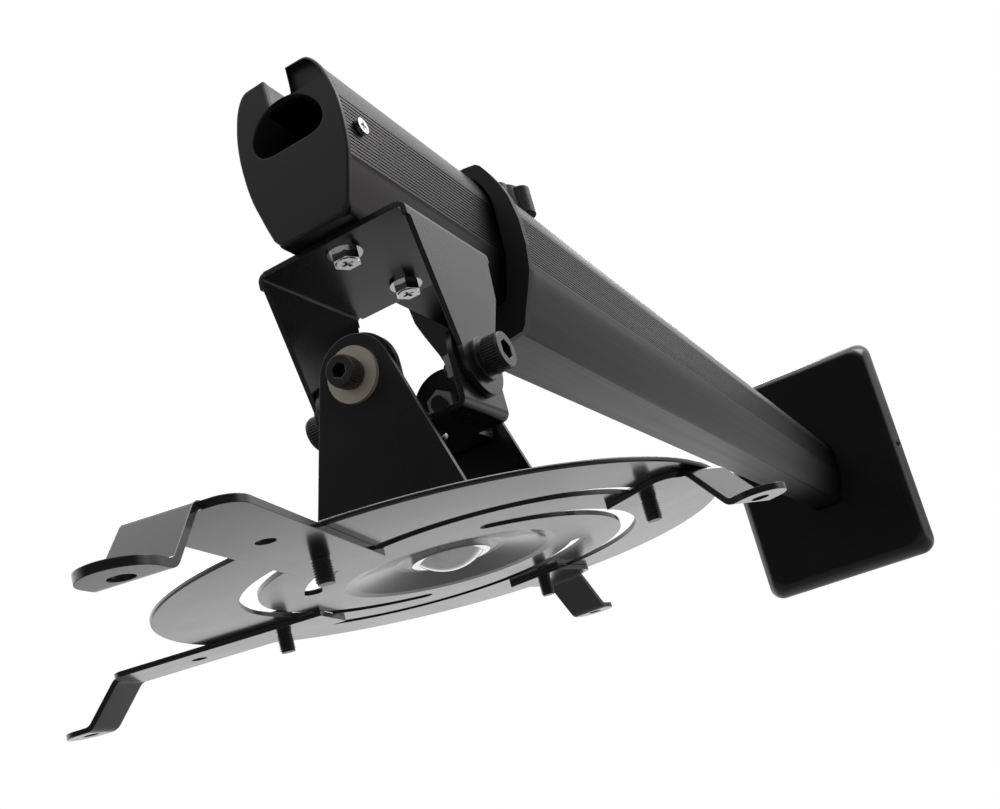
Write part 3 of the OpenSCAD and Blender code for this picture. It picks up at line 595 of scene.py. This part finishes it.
# fitted to the photo: angles in degrees, optical centre in pixels of the 1000 x 809 image
VIEW_AZ, VIEW_EL, VIEW_ROLL = 20.10, 9.90, 16.40
VIEW_FROM = (214.7, -375.1, -85.4)   # mm from HEAD
FOCAL_WIDTHS = 1.011                 # focal length in image widths
SENSOR = 36.0
IMAGE_W = 1000.0
IMAGE_CENTRE = (500, 404.5)
OPTICAL_CENTRE = (622.9, 541.5)

az, el, roll = math.radians(VIEW_AZ), math.radians(VIEW_EL), math.radians(VIEW_ROLL)
forward = Vector((-math.sin(az) * math.cos(el), math.cos(az) * math.cos(el), math.sin(el)))
level_right = Vector((math.cos(az), math.sin(az), 0.0))
level_down = forward.cross(level_right)
right = math.cos(roll) * level_right + math.sin(roll) * level_down
down = -math.sin(roll) * level_right + math.cos(roll) * level_down
cam_data = bpy.data.cameras.new("camera")
cam_data.sensor_fit = "HORIZONTAL"
cam_data.sensor_width = SENSOR
cam_data.lens = SENSOR * FOCAL_WIDTHS
cam_data.shift_x = (IMAGE_CENTRE[0] - OPTICAL_CENTRE[0]) / IMAGE_W
cam_data.shift_y = (OPTICAL_CENTRE[1] - IMAGE_CENTRE[1]) / IMAGE_W
cam_data.clip_start = 0.01
cam_data.clip_end = 60.0
cam = bpy.data.objects.new("camera", cam_data)
bpy.context.scene.collection.objects.link(cam)
turn = Matrix((right, -down, -forward)).transposed()
cam.matrix_world = Matrix.Translation(hp(*VIEW_FROM)) @ turn.to_4x4()
bpy.context.scene.camera = cam


# ---------------------------------------------------------------- floor

FLOOR_CENTRE = Vector((0, -0.5, -1.25))
FLOOR_HALF = 20
WHITE_FROM, WHITE_AT = 1.2, 3.2     # distances over which the floor turns to plain white
SHADOW_FLOOR = 0.55                 # share of white near the object, so that its shadow shows
DARK_NEAR, PALE_FAR = -0.2, 3.4     # y over which the mirrored floor gets its light
NEAR_LOSS = -0.72

bm = bmesh.new()
bm.faces.new([bm.verts.new(FLOOR_CENTRE + Vector((x, y, 0)) * FLOOR_HALF)
              for x, y in ((-1, -1), (1, -1), (1, 1), (-1, 1))])
floor_mesh = bpy.data.meshes.new("floor")
bm.to_mesh(floor_mesh)
bm.free()
floor = bpy.data.objects.new("floor", floor_mesh)
bpy.context.scene.collection.objects.link(floor)

floor_mat = bpy.data.materials.new("floor_pale")
floor_mat.use_nodes = True
ft = floor_mat.node_tree
diffuse = ft.nodes["Principled BSDF"]
diffuse.inputs["Base Color"].default_value = (0.86, 0.86, 0.86, 1)
diffuse.inputs["Roughness"].default_value = 0.9
diffuse.inputs["Specular IOR Level"].default_value = 0.1
glow = add_node(ft, "ShaderNodeEmission")
glow.inputs["Color"].default_value = (1, 1, 1, 1)
rays = add_node(ft, "ShaderNodeLightPath").outputs
spot = add_node(ft, "ShaderNodeTexCoord").outputs["Object"]
away = add_node(ft, "ShaderNodeVectorMath", operation="LENGTH")
ft.links.new(spot, away.inputs[0])
white = range_node(ft, away.outputs["Value"], WHITE_FROM, WHITE_AT, SHADOW_FLOOR, 1.0)
# in reflections the floor is unlit on the near side and pale towards and past the wall
parts = add_node(ft, "ShaderNodeSeparateXYZ")
ft.links.new(spot, parts.inputs[0])
loss = range_node(ft, parts.outputs["Y"], DARK_NEAR, PALE_FAR, NEAR_LOSS, 0.0, "SMOOTHSTEP")
ft.links.new(math_node(ft, "MULTIPLY_ADD", loss, rays["Is Glossy Ray"], 1.0),
             glow.inputs["Strength"])
share = math_node(ft, "MAXIMUM", math_node(ft, "MULTIPLY", rays["Is Camera Ray"], white),
                  rays["Is Glossy Ray"])
mixed = add_node(ft, "ShaderNodeMixShader")
ft.links.new(share, mixed.inputs["Fac"])
ft.links.new(diffuse.outputs["BSDF"], mixed.inputs[1])
ft.links.new(glow.outputs["Emission"], mixed.inputs[2])
ft.links.new(mixed.outputs["Shader"], ft.nodes["Material Output"].inputs["Surface"])
floor_mesh.materials.append(floor_mat)


# ---------------------------------------------------------------- studio world

UNLIT_TOWARDS = (0.34, -0.94, 0.0)
UNLIT_LOSS = 0.93
STRIP_LOSS = 0.55
SOFT_LIGHT = 0.5      # strength of the light that the studio itself gives

world = bpy.data.worlds.new("studio")
bpy.context.scene.world = world
world.use_nodes = True
wt = world.node_tree


def fade(v, lo, hi, a, b):
    return range_node(wt, v, lo, hi, a, b, "SMOOTHSTEP")


def mul(a, b):
    return math_node(wt, "MULTIPLY", a, b)


def without(a):
    return math_node(wt, "SUBTRACT", 1.0, a)


# the unlit end of the studio lies opposite the wall, from the floor to well above the object
direction = add_node(wt, "ShaderNodeTexCoord").outputs["Generated"]
facing = add_node(wt, "ShaderNodeVectorMath", operation="DOT_PRODUCT")
facing.inputs[1].default_value = UNLIT_TOWARDS
wt.links.new(direction, facing.inputs[0])
xyz = add_node(wt, "ShaderNodeSeparateXYZ")
wt.links.new(direction, xyz.inputs[0])
unlit = mul(fade(facing.outputs["Value"], -0.15, 0.45, 0.0, 1.0),
            fade(xyz.outputs["Z"], 0.45, 0.8, 1.0, 0.0))
# a shaded strip of the far wall, low behind the object, that its right-hand sides mirror
strip = mul(fade(xyz.outputs["Y"], 0.45, 0.7, 0.0, 1.0),
            fade(xyz.outputs["Z"], 0.2, 0.36, 1.0, 0.0))
shine = mul(without(mul(unlit, UNLIT_LOSS)), without(mul(strip, STRIP_LOSS)))
rays = add_node(wt, "ShaderNodeLightPath").outputs
plain = math_node(wt, "ADD", SOFT_LIGHT, mul(rays["Is Camera Ray"], 1.0 - SOFT_LIGHT))
level = math_node(wt, "ADD", mul(rays["Is Glossy Ray"], shine),
                  mul(without(rays["Is Glossy Ray"]), plain))
bg = wt.nodes["Background"]
bg.inputs["Color"].default_value = (1, 1, 1, 1)
wt.links.new(level, bg.inputs["Strength"])


# ---------------------------------------------------------------- lamps

def area(name, loc, target, size, power):
    """Rectangular soft lamp at loc, turned to target."""
    d = bpy.data.lights.new(name, "AREA")
    d.shape = "RECTANGLE"
    d.size, d.size_y = size
    d.energy = power
    ob = bpy.data.objects.new(name, d)
    bpy.context.scene.collection.objects.link(ob)
    ob.location = loc
    ob.rotation_euler = (Vector(target) - Vector(loc)).to_track_quat("-Z", "Y").to_euler()
    return ob


area("key", (1.7, 0.5, 2.3), (0, -0.7, 0), (1.6, 1.6), 36)
area("side", (-2.2, 0.3, 1.5), (0, -0.7, 0), (1.4, 1.4), 22)
area("top", (0.1, -0.8, 2.6), (0, -0.8, 0), (2.0, 2.0), 22)
back = area("back", (-1.0, 2.7, 1.75), (0, -0.5, 0.15), (1.4, 1.0), 26)
back.visible_camera = False

bpy.context.scene.view_settings.view_transform = "Standard"
